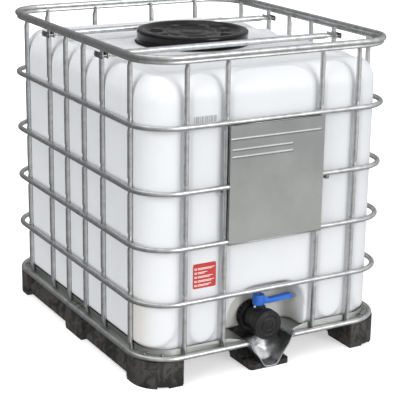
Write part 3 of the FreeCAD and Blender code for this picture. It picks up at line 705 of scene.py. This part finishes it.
def bay_rise(run, climb, top, grooves, total):
    """How far the skin stands out at a place on the wall: rounded bays between the grooves."""
    after = grooves + [grooves[0] + total]
    if run < grooves[0]:
        run += total
    for left, right in zip(after, after[1:]):
        if left <= run < right:
            break
    centre = (left + right) / 2
    half_width = (right - left) / 2 - GROOVE_HALF
    half_height = top / 2
    radius = min(BAY_CORNER_R, half_width * 0.98)
    px = abs(run - centre) - half_width + radius
    py = abs(climb - half_height) - half_height + radius
    outside = math.hypot(max(px, 0.0), max(py, 0.0)) + min(max(px, py), 0.0) - radius
    edge = float(smooth_step(-outside / BAY_EDGE))
    crown = 1 - min(1.0, ((run - centre) / half_width) ** 2)
    return BAY_RISE * edge * (0.84 + 0.16 * crown)


def bottle_shell():
    """The closed outer skin, before the valve pocket is cut."""
    low = FLOOR_TOP + 0.5 * MM
    grooves, total = groove_runs()
    wall_low, wall_high = low + FOOT_R, DECK_Z - DECK_SINK - SHOULDER_R
    profile = []
    for k in range(FOOT_STEPS + 1):
        a = math.pi / 2 * k / FOOT_STEPS
        profile.append((FOOT_R * (1 - math.sin(a)), low + FOOT_R * (1 - math.cos(a)), FOOT_R * a))
    climb = FOOT_R * math.pi / 2
    for k in range(1, WALL_STEPS):
        z = wall_low + (wall_high - wall_low) * k / WALL_STEPS
        profile.append((0.0, z, climb + z - wall_low))
    climb += wall_high - wall_low
    for k in range(SHOULDER_STEPS + 1):
        a = math.pi / 2 * k / SHOULDER_STEPS
        profile.append((SHOULDER_R * (1 - math.cos(a)), wall_high + SHOULDER_R * math.sin(a),
                        climb + SHOULDER_R * a))
    top = climb + SHOULDER_R * math.radians(SHOULDER_END)
    foot_start = FOOT_R * math.radians(FOOT_START)
    verts = []
    for inset, z, climb_here in profile:
        points = body_outline(inset)
        slope = 1.0 if inset == 0 else (SHOULDER_R - inset) / SHOULDER_R
        for x, y, nx, ny, run in points:
            rise = bay_rise(run, climb_here - foot_start, top - foot_start, grooves, total)
            lift = rise * math.sqrt(max(0.0, 1 - slope ** 2))
            side = rise * slope
            direction = 1 if z > 0.5 else -1
            verts.append((x + nx * side, y + ny * side, z + direction * lift))
    rows_done = len(profile)
    for step, drop in ((14 * MM, 2 * MM), (30 * MM, 6.5 * MM), (60 * MM, 7.5 * MM)):
        for x, y, *_ in body_outline(SHOULDER_R + step):
            verts.append((x, y, DECK_Z - DECK_SINK - drop))
        rows_done += 1
    for radius, z in ((262 * MM, DECK_Z - 9 * MM), (236 * MM, DECK_Z - 4 * MM), (222 * MM, DECK_Z)):
        for x, y, *_ in body_outline(0.0):
            scale = radius / math.hypot(x, y)
            verts.append((x * scale, y * scale, z))
        rows_done += 1
    columns = len(verts) // rows_done
    faces = ring_faces(rows_done, columns)
    verts.append((0, 0, low))
    bottom = len(verts) - 1
    verts.append((0, 0, DECK_Z))
    peak = len(verts) - 1
    last = (rows_done - 1) * columns
    for column in range(columns):
        after = (column + 1) % columns
        faces.append((bottom, after, column))
        faces.append((peak, last + column, last + after))
    return verts, faces


def closed_mesh(name, verts, faces):
    piece = plain_mesh(name, verts, faces)
    fix_normals(piece)
    return piece


def pocket_cutter():
    """The arch-topped block of air round the valve, drafted towards the back."""
    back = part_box("union_nut")[1].y + 2 * MM
    front = -BOTTLE_HALF_Y - 0.03
    top = 300 * MM
    half = 160 * MM
    corner = 110 * MM
    rows = []
    for y, shrink in ((front, -10 * MM), (-BOTTLE_HALF_Y + 4 * MM, -6 * MM),
                      (-BOTTLE_HALF_Y + 14 * MM, 0.0), (back - 20 * MM, 3 * MM),
                      (back - 6 * MM, 7 * MM), (back, 18 * MM)):
        ring_points = [(-half + shrink, 0.02), (half - shrink, 0.02)]
        for side in (1, -1):
            steps = range(13) if side == 1 else range(12, -1, -1)
            for k in steps:
                a = math.pi / 2 * k / 12
                ring_points.append((side * (half - corner + (corner - shrink) * math.cos(a)),
                                    top - corner + (corner - shrink) * math.sin(a)))
        rows.append([(x, y, z) for x, z in ring_points])
    verts = [p for row in rows for p in row]
    columns = len(rows[0])
    faces = capped(ring_faces(len(rows), columns), len(rows), columns)
    return closed_mesh("pocket_air", verts, faces)


def cut_away(piece, air):
    """Cuts the closed mesh air out of the piece and removes it."""
    modifier = piece.modifiers.new("cut", "BOOLEAN")
    modifier.operation = "DIFFERENCE"
    modifier.solver = "EXACT"
    modifier.object = air
    apply_modifiers(piece)
    bpy.data.objects.remove(air)


def build_bottle():
    """The hollow tank: pocket cut out, edges blended by a voxel remesh, mouth opened, wall added."""
    verts, faces = bottle_shell()
    shell = closed_mesh("tank_shell", verts, faces)
    cut_away(shell, pocket_cutter())
    remesh = shell.modifiers.new("voxels", "REMESH")
    remesh.mode = "VOXEL"
    remesh.voxel_size = VOXEL
    smooth = shell.modifiers.new("smooth", "SMOOTH")
    smooth.factor = 0.5
    smooth.iterations = 5
    apply_modifiers(shell)
    work = bmesh.new()
    work.from_mesh(shell.data)
    gone = [v for v in work.verts
            if v.co.z > DECK_Z - 30 * MM and math.hypot(v.co.x, v.co.y) < MOUTH_R]
    bmesh.ops.delete(work, geom=gone, context="VERTS")
    for edge in work.edges:
        if edge.is_boundary:
            for v in edge.verts:
                scale = MOUTH_R / math.hypot(v.co.x, v.co.y)
                v.co.x *= scale
                v.co.y *= scale
                v.co.z = DECK_Z - 1 * MM
    work.to_mesh(shell.data)
    work.free()
    sheet_wall(shell, WALL, -1.0)
    apply_modifiers(shell)
    dress(shell, "bottle")
    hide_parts("bottle")


def lathe(name, node, profile, centre, axis, count):
    """Turns a closed (radius, along) outline about a line through centre, in count steps."""
    spin = Vector((0, 0, 1)).rotation_difference(Vector(axis)).to_matrix()
    verts = []
    for k in range(count):
        a = 2 * math.pi * k / count
        for radius, along in profile:
            spot = Vector((radius * math.cos(a), radius * math.sin(a), along))
            verts.append(Vector(centre) + spin @ spot)
    piece = add_piece(name, verts, ring_faces(count, len(profile), wrap_rows=True), node)
    fix_normals(piece)
    sharpen(piece, 35)
    return piece


def build_necks():
    """The filler neck with its thread rings, and the outlet neck."""
    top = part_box("lid_gasket")[0].z
    base = DECK_Z - 8 * MM
    outer, inner = 186 * MM, 176 * MM
    profile = [(inner, base - 10 * MM), (inner, top - 2 * MM), (inner + 1.5 * MM, top),
               (outer - 1.5 * MM, top), (outer, top - 1.5 * MM)]
    for z in (1081 * MM, 1072 * MM):
        profile += [(outer, z + 3.5 * MM), (outer + 2 * MM, z + 2 * MM),
                    (outer + 2 * MM, z + 1 * MM), (outer, z - 0.5 * MM)]
    profile += [(outer, base + 12 * MM), (outer + 8 * MM, base + 8 * MM),
                (outer + 8 * MM, base - 10 * MM)]
    neck = lathe("filler_neck", "bottle", profile, (0, 0, 0), (0, 0, 1), 128)
    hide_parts("bottle")
    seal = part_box("outlet_seal")
    z = middle("outlet_seal").z
    outlet = lathe("outlet_neck", "bottle",
                   [(40 * MM, 0), (45 * MM, 0), (45 * MM, -30 * MM), (40 * MM, -30 * MM)],
                   (0, seal[1].y, z), (0, -1, 0), 64)
    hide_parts("bottle")


LABEL_ROWS = ((0.80, 0.94), (0.635, 0.62), (0.47, 0.86), (0.30, 0.92), (0.135, 0.80))
PRINT_BARS = 15
PRINT_LEFT, PRINT_PITCH = -305 * MM, 5.6 * MM
PRINT_LOW, PRINT_HIGH = 906 * MM, 928 * MM


def build_label():
    """The red film on the bay, with rows of pale bars, and a row of grey bars higher up.

    Each row of the film has its height and its right end, as shares of the film's size.
    """
    low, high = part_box("bottle_label")
    face_y = -BOTTLE_HALF_Y - 0.9 * MM
    corner = 6 * MM
    sheet = rounded_plate("bay_film", low.x, high.x, low.z, high.z, corner, face_y, 0.5 * MM,
                          "bottle_label")
    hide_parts("bottle_label")
    width, height = high.x - low.x, high.z - low.z
    for row, (level, share) in enumerate(LABEL_ROWS):
        for line in range(2):
            z = low.z + height * level - line * 4.2 * MM
            for part, (start, end) in enumerate(((0.05, 0.17), (0.20, share - 0.12 * line))):
                bar = rounded_plate("label_bar_%d_%d_%d" % (row, line, part), low.x + start * width,
                                    low.x + end * width, z, z + 2.3 * MM, 0.5 * MM,
                                    face_y - 0.25 * MM, 0.3 * MM, "bottle_label")
                bar.data.materials[0] = PRINT_PALE
    for index in range(PRINT_BARS):
        left = PRINT_LEFT + index * PRINT_PITCH
        bar = rounded_plate("print_bar_%d" % index, left, left + (1.6 + index % 3) * MM,
                            PRINT_LOW, PRINT_HIGH, 0.4 * MM, face_y, 0.3 * MM, "bottle_label")
        bar.data.materials[0] = PRINT_GREY


def rounded_plate(name, x0, x1, z0, z1, corner, face_y, thick, node):
    """A thin plate facing -Y with rounded corners."""
    corner = min(corner, (x1 - x0) / 2.01, (z1 - z0) / 2.01)
    points = []
    for cx, cz, first in ((x1 - corner, z1 - corner, 0), (x0 + corner, z1 - corner, 90),
                          (x0 + corner, z0 + corner, 180), (x1 - corner, z0 + corner, 270)):
        for k in range(5):
            a = math.radians(first + 22.5 * k)
            points.append((cx + corner * math.cos(a), cz + corner * math.sin(a)))
    verts = [(x, face_y, z) for x, z in points] + [(x, face_y + thick, z) for x, z in points]
    count = len(points)
    faces = capped(ring_faces(2, count), 2, count)
    piece = add_piece(name, verts, faces, node, smooth=False)
    fix_normals(piece)
    return piece


# ---- front panel ----
PANEL_SHEET = 1.2 * MM
PANEL_BEADS = [(0.115, 0.012, 0.955), (0.205, 0.03, 0.655), (0.265, 0.03, 0.655)]
BEAD_RISE, BEAD_WIDTH = 1.8 * MM, 2.4 * MM


def build_panel():
    """A thin sheet with pressed beads, a folded lower edge and a hook over the rail behind it.

    Each bead has its place down from the top and its two ends, as shares of the sheet's size.
    """
    low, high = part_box("label_panel")
    top = RAIL_Z[3] - TUBE_R
    front = low.y
    thick = PANEL_SHEET
    width = high.x - low.x
    height = top - low.z
    columns = 150
    zs = set(np.linspace(low.z, top, 70))
    for share, start, end in PANEL_BEADS:
        zs |= set(np.linspace(top - height * share - 0.006, top - height * share + 0.006, 9))
    zs = sorted(zs)
    verts = []
    for z in zs:
        for k in range(columns + 1):
            x = low.x + width * k / columns
            rise = 0.0
            for share, start, end in PANEL_BEADS:
                across = (z - (top - height * share)) / BEAD_WIDTH
                past = max(low.x + width * start - x, x - (low.x + width * end), 0.0) / BEAD_WIDTH
                rise = max(rise, math.exp(-(across ** 2 + past ** 2)))
            wave = 0.35 * MM * math.sin(7.1 * x + 2.0) * math.sin(9.3 * z)
            edge = min(1.0, (z - low.z) / 0.03) * min(1.0, (top - z) / 0.03)
            verts.append((x, front + thick / 2 + 0.9 * MM - BEAD_RISE * rise + wave * edge * 0.4, z))
    faces = ring_faces(len(zs), columns + 1, wrap_columns=False)
    piece = add_piece("front_panel_sheet", verts, faces, "label_panel")
    sheet_wall(piece, thick, 0.0)
    apply_modifiers(piece)
    dress(piece, "label_panel")
    sharpen(piece, 50)
    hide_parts("label_panel")
    inner = -HALF_Y + 2 * TUBE_R + thick
    for name, z, lip, end in (("panel_top_hook", top - thick, 12 * MM, 16 * MM),
                              ("panel_bottom_fold", low.z, 9 * MM, 0.5 * MM)):
        half = high.x - end
        curve = [(front + 0.3 * MM, z + 0.004), (front + 0.8 * MM, z + 0.0012), (front + 3 * MM, z),
                 (inner - 3 * MM, z), (inner - 0.8 * MM, z + 0.0012), (inner, z + 0.003),
                 (inner, z + lip)]
        verts = [(x, y, up) for x in (-half, -half / 3, half / 3, half) for y, up in curve]
        fold = add_piece(name, verts, ring_faces(4, len(curve), wrap_columns=False), "label_panel")
        sheet_wall(fold, thick, 1.0)
        apply_modifiers(fold)
        dress(fold, "label_panel")
        fix_normals(fold)


# ---- base ----
# Half sections of the trough, (x, z) in millimetres, from the middle out to the lip
CHUTE_FRONT_HALF = [(0, 7.2), (12, 7.4), (22, 8.6), (29, 14), (35, 24), (42, 37), (52, 51),
                    (61, 62), (69, 71), (76, 81), (81, 94), (86, 104), (97, 108.8)]
CHUTE_BACK_HALF = [(0, 80), (8, 80), (16, 80.2), (24, 80.6), (32, 81), (42, 82), (52, 84),
                   (62, 87), (71, 91), (78, 95), (84, 100), (90, 105), (97, 108.6)]
CHUTE_SHEET = 1.5 * MM
DENT = 1.2 * MM                  # the hammered unevenness inside the trough
LIP_R = 2.4 * MM
LIP_SIDES = 10


def chute_section(share):
    """The trough's section, blended from the front one (0) to the back one (1)."""
    half = [((1 - share) * a[0] + share * b[0], (1 - share) * a[1] + share * b[1])
            for a, b in zip(CHUTE_FRONT_HALF, CHUTE_BACK_HALF)]
    return [(-x * MM, z * MM) for x, z in reversed(half[1:])] + [(x * MM, z * MM) for x, z in half]


def build_chute():
    """The formed trough below the valve: level at the front, then climbing to the outlet."""
    low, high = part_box("valve_chute")
    front, back = low.y + 1 * MM, high.y - 2 * MM
    level_end, rise_end = -HALF_Y + 56 * MM, -HALF_Y + 108 * MM
    places = [front, front + 3 * MM, front + 10 * MM, front + 30 * MM]
    places += list(np.linspace(level_end - 6 * MM, rise_end + 6 * MM, 15))
    places += [rise_end + 30 * MM, back]
    verts = []
    for y in places:
        share = min(max((y - level_end) / (rise_end - level_end), 0.0), 1.0)
        for x, z in chute_section(share):
            dent = math.sin(71 * x + 3 * math.sin(57 * y)) * math.sin(83 * y + 1.3)
            inside = min(1.0, (y - front) / 0.02) * max(0.0, 1 - (abs(x) / 0.085) ** 4)
            verts.append((x, y, z + DENT * (1 + dent) * inside))
    section = chute_section(0.0)
    columns = len(section)
    faces = ring_faces(len(places), columns, wrap_columns=False)
    piece = add_piece("valve_trough", verts, faces, "valve_chute")
    sheet_wall(piece, CHUTE_SHEET, 1.0)
    rounder(piece)
    apply_modifiers(piece)
    dress(piece, "valve_chute")
    piece.data.materials[0] = BRIGHT_SHEET
    fix_normals(piece)
    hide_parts("valve_chute")
    build_chute_lip(section, front + 2 * MM)


def build_chute_lip(section, y):
    """The rolled edge round the trough's mouth."""
    columns = len(section)
    verts = []
    for index, (x, z) in enumerate(section):
        ahead = section[min(index + 1, columns - 1)]
        behind = section[max(index - 1, 0)]
        tangent = Vector((ahead[0] - behind[0], 0, ahead[1] - behind[1])).normalized()
        normal = Vector((-tangent.z, 0, tangent.x))
        for k in range(LIP_SIDES):
            a = 2 * math.pi * k / LIP_SIDES
            verts.append(Vector((x, y, z)) + normal * (LIP_R * math.cos(a))
                         + Vector((0, 1, 0)) * (LIP_R * math.sin(a)))
    faces = capped(ring_faces(columns, LIP_SIDES), columns, LIP_SIDES)
    lip = add_piece("trough_lip", verts, faces, "valve_chute")
    rounder(lip)
    apply_modifiers(lip)
    dress(lip, "valve_chute")
    lip.data.materials[0] = BRIGHT_SHEET
    fix_normals(lip)


def build_wings():
    """The trough's two wings on the tray's flange."""
    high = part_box("valve_chute")[1]
    for side, name in ((-1, "left"), (1, "right")):
        x0, x1 = sorted((side * 90 * MM, side * high.x))
        slab("chute_wing_" + name, (x0, x1), (-HALF_Y + 19 * MM, -HALF_Y + 36 * MM),
             (FLOOR_TOP, high.z), "valve_chute", 0.6 * MM)


def slab(name, xs, ys, zs, node, edge):
    """A plate with rounded edges."""
    verts = [(x, y, z) for z in zs for x, y in
             ((xs[0], ys[0]), (xs[1], ys[0]), (xs[1], ys[1]), (xs[0], ys[1]))]
    faces = capped(ring_faces(2, 4), 2, 4)
    piece = add_piece(name, verts, faces, node)
    bevel = piece.modifiers.new("edges", "BEVEL")
    bevel.width = edge
    bevel.segments = 2
    apply_modifiers(piece)
    dress(piece, node)
    fix_normals(piece)
    sharpen(piece, 40)


LID_SIDES = 144
LID_PADS = 8
PAD_RING_R = 134 * MM            # the middle of the ring of raised pads
PAD_HALF = 26 * MM
PAD_RISE = 6 * MM
LID_FACE_POINTS = 20             # points of the lid's profile that the pads may lift


def build_lid():
    """The screw lid: rolled rim, sunk centre with a ring, raised pads and a low middle boss."""
    low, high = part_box("lid")
    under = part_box("lid_gasket")[1].z
    outer, skirt_in = high.x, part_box("lid_gasket")[1].x + 4 * MM
    floor = under + 5 * MM
    profile = [(1 * MM, under + 9 * MM), (34 * MM, under + 9 * MM), (38 * MM, under + 8 * MM),
               (44 * MM, floor), (80 * MM, floor), (84 * MM, floor + 3 * MM), (90 * MM, floor + 3 * MM),
               (94 * MM, floor)]
    profile += [(r * MM, floor) for r in (104, 110, 116, 122, 128, 134, 140, 146, 152, 158, 164)]
    profile += [(172 * MM, high.z - 7 * MM), (178 * MM, high.z - 2 * MM), (184 * MM, high.z),
                (197 * MM, high.z), (202 * MM, high.z - 1.5 * MM), (outer, high.z - 5 * MM),
                (outer, high.z - 14 * MM), (outer - 1.5 * MM, high.z - 16 * MM),
                (outer - 1.5 * MM, low.z + 6 * MM), (outer, low.z + 4 * MM), (outer, low.z + 1 * MM),
                (outer - 1 * MM, low.z), (skirt_in + 1 * MM, low.z), (skirt_in, low.z + 1 * MM),
                (skirt_in, under), (1 * MM, under)]
    verts = []
    for index, (radius, z) in enumerate(profile):
        across = max(0.0, 1 - ((radius - PAD_RING_R) / PAD_HALF) ** 2) if index < LID_FACE_POINTS else 0.0
        for k in range(LID_SIDES):
            a = 2 * math.pi * k / LID_SIDES
            round_share = float(smooth_step(3 * math.cos(LID_PADS * a) - 0.6))
            lift = PAD_RISE * float(smooth_step(2 * across)) * round_share
            verts.append((radius * math.cos(a), radius * math.sin(a), z + lift))
    faces = capped(ring_faces(len(profile), LID_SIDES), len(profile), LID_SIDES)
    piece = add_piece("lid_cover_moulding", verts, faces, "lid")
    fix_normals(piece)
    sharpen(piece, 50)
    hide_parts("lid")


def build_relief():
    """Raised rings on the outlet cap's face and round the union nut."""
    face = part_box("outlet_cap")[0].y
    z = middle("outlet_seal").z
    for name, r0, r1 in (("cap_ring_inner", 17, 25), ("cap_ring_outer", 35, 43)):
        profile = [(r0 * MM, -1 * MM), (r0 * MM, 1 * MM), ((r0 + 1.5) * MM, 2 * MM),
                   ((r1 - 1.5) * MM, 2 * MM), (r1 * MM, 1 * MM), (r1 * MM, -1 * MM)]
        lathe(name, "outlet_cap", profile, (0, face, z), (0, -1, 0), 72)
    back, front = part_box("union_nut")[1].y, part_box("union_nut")[0].y
    for index in range(3):
        y = front + (back - front) * (0.14 + 0.34 * index)
        profile = [(53 * MM, -2.2 * MM), (56.5 * MM, -1.4 * MM), (57.3 * MM, 0.0), (56.5 * MM, 1.4 * MM),
                   (53 * MM, 2.2 * MM)]
        lathe("nut_ridge_%d" % index, "union_nut", profile, (0, y, z), (0, -1, 0), 72)


# How wide each CAD part's edges are rounded over, in millimetres
SOFT_EDGES = {
    "runner_left": 3.0, "runner_right": 3.0, "centre_runner": 3.0, "union_nut": 1.0,
    "valve_body": 0.8, "outlet_cap": 0.9, "valve_lever": 2.2, "seal_pin": 0.3,
    "lever_screw": 0.4, "crossbar_clamps": 0.7, "crossbar_bolts": 0.5, "base_bolts": 0.6,
    "hold_down_plates": 0.6, "chute_bolts": 0.5, "panel_clips": 0.8, "neck_collar": 0.7,
    "crossbar_front": 0.8, "crossbar_rear": 0.8, "base_tray": 0.5, "valve_disc": 0.8,
}


def build_moulded():
    for node, width in SOFT_EDGES.items():
        softened(node, width * MM)


def finish_nodes():
    """Gives every CAD node its material; some are replaced by pieces afterwards."""
    for node, piece in NODES.items():
        piece.data.materials.clear()
        piece.data.materials.append(MATERIALS[SLOT_OF[node]])


# ---- stage ----
FLOOR_HALF = 80.0


def build_stage():
    """A plain pale floor that the object doesn't pick up in its reflections or fill light."""
    corners = [(x * FLOOR_HALF, y * FLOOR_HALF, 0) for x, y in ((-1, -1), (1, -1), (1, 1), (-1, 1))]
    ground = plain_mesh("studio_floor", corners, [(0, 1, 2, 3)])
    m = Nodes("studio_floor")
    m.set(Roughness=0.9, Emission_Strength=0.45, Emission_Color=(1, 1, 1, 1))
    tone = m.ramp(m.noise(0.7, 2), [(0.3, (0.90, 0.90, 0.90)), (0.7, (0.93, 0.93, 0.93))])
    m.link(tone, "Base Color")
    ground.visible_glossy = False
    ground.visible_diffuse = False
    ground.data.materials.append(m.material)


def sun(name, source, strength, spread, glints=True):
    """A broad sun shining from the direction source; without glints it only lights matt skin."""
    data = bpy.data.lights.new(name, "SUN")
    data.energy = strength
    data.angle = math.radians(spread)
    light = linked(name, data)
    light.visible_glossy = glints
    light.location = Vector(source).normalized() * 5
    light.rotation_euler = Vector(source).to_track_quat("Z", "Y").to_euler()


def build_light():
    """A studio that is bright ahead of the object and dim behind it and to its left."""
    world = bpy.data.worlds.new("studio")
    bpy.context.scene.world = world
    world.use_nodes = True
    tree = world.node_tree
    coords = tree.nodes.new("ShaderNodeTexCoord").outputs["Generated"]
    bright_side = tree.nodes.new("ShaderNodeVectorMath")
    bright_side.operation = "DOT_PRODUCT"
    bright_side.inputs[1].default_value = Vector((0.42, -0.72, 0.55)).normalized()
    tree.links.new(coords, bright_side.inputs[0])
    level = tree.nodes.new("ShaderNodeMapRange")
    level.inputs["From Min"].default_value = -1.0
    tree.links.new(bright_side.outputs["Value"], level.inputs["Value"])
    ramp = tree.nodes.new("ShaderNodeValToRGB")
    greys = ((0.0, 0.14), (0.35, 0.24), (0.6, 0.42), (0.82, 0.62), (1.0, 0.85))
    fill_ramp(ramp, [(place, (grey, grey, grey * 1.01)) for place, grey in greys])
    tree.links.new(level.outputs["Result"], ramp.inputs["Fac"])
    tree.links.new(ramp.outputs["Color"], tree.nodes["Background"].inputs["Color"])
    tree.nodes["Background"].inputs["Strength"].default_value = 1.28
    sun("key", (0.30, -1.0, 0.40), 1.15, 22)
    sun("left_fill", (-1.0, -0.30, 0.35), 1.9, 40, glints=False)
    sun("top", (-0.25, 0.25, 1.0), 0.6, 50)


def build_camera():
    """The view from the front left, at the distance and lens of a product shot."""
    azimuth, elevation, roll = (math.radians(a) for a in (29.618, 16.815, 0.859))
    distance = 4.8844
    target = Vector((-0.0059, -0.0846, 0.4779))
    back = Vector((-math.sin(azimuth) * math.cos(elevation), -math.cos(azimuth) * math.cos(elevation),
                   math.sin(elevation)))
    right = Vector((math.cos(azimuth), -math.sin(azimuth), 0))
    up = back.cross(right)
    right_rolled = right * math.cos(roll) + up * math.sin(roll)
    up_rolled = up * math.cos(roll) - right * math.sin(roll)
    data = bpy.data.cameras.new("camera")
    data.lens = 117.44
    data.sensor_width = 36.0
    data.clip_end = 100
    camera = linked("camera", data)
    axes = Matrix((right_rolled, up_rolled, back)).transposed().to_4x4()
    camera.matrix_world = Matrix.Translation(target + back * distance) @ axes
    bpy.context.scene.camera = camera


def write_sizes():
    import json


build_camera()
build_light()
build_stage()
finish_nodes()
build_cage()
build_bottle()
build_necks()
build_label()
build_panel()
build_chute()
build_wings()
build_lid()
build_relief()
build_moulded()
bpy.context.scene.view_settings.view_transform = "Standard"
write_sizes()
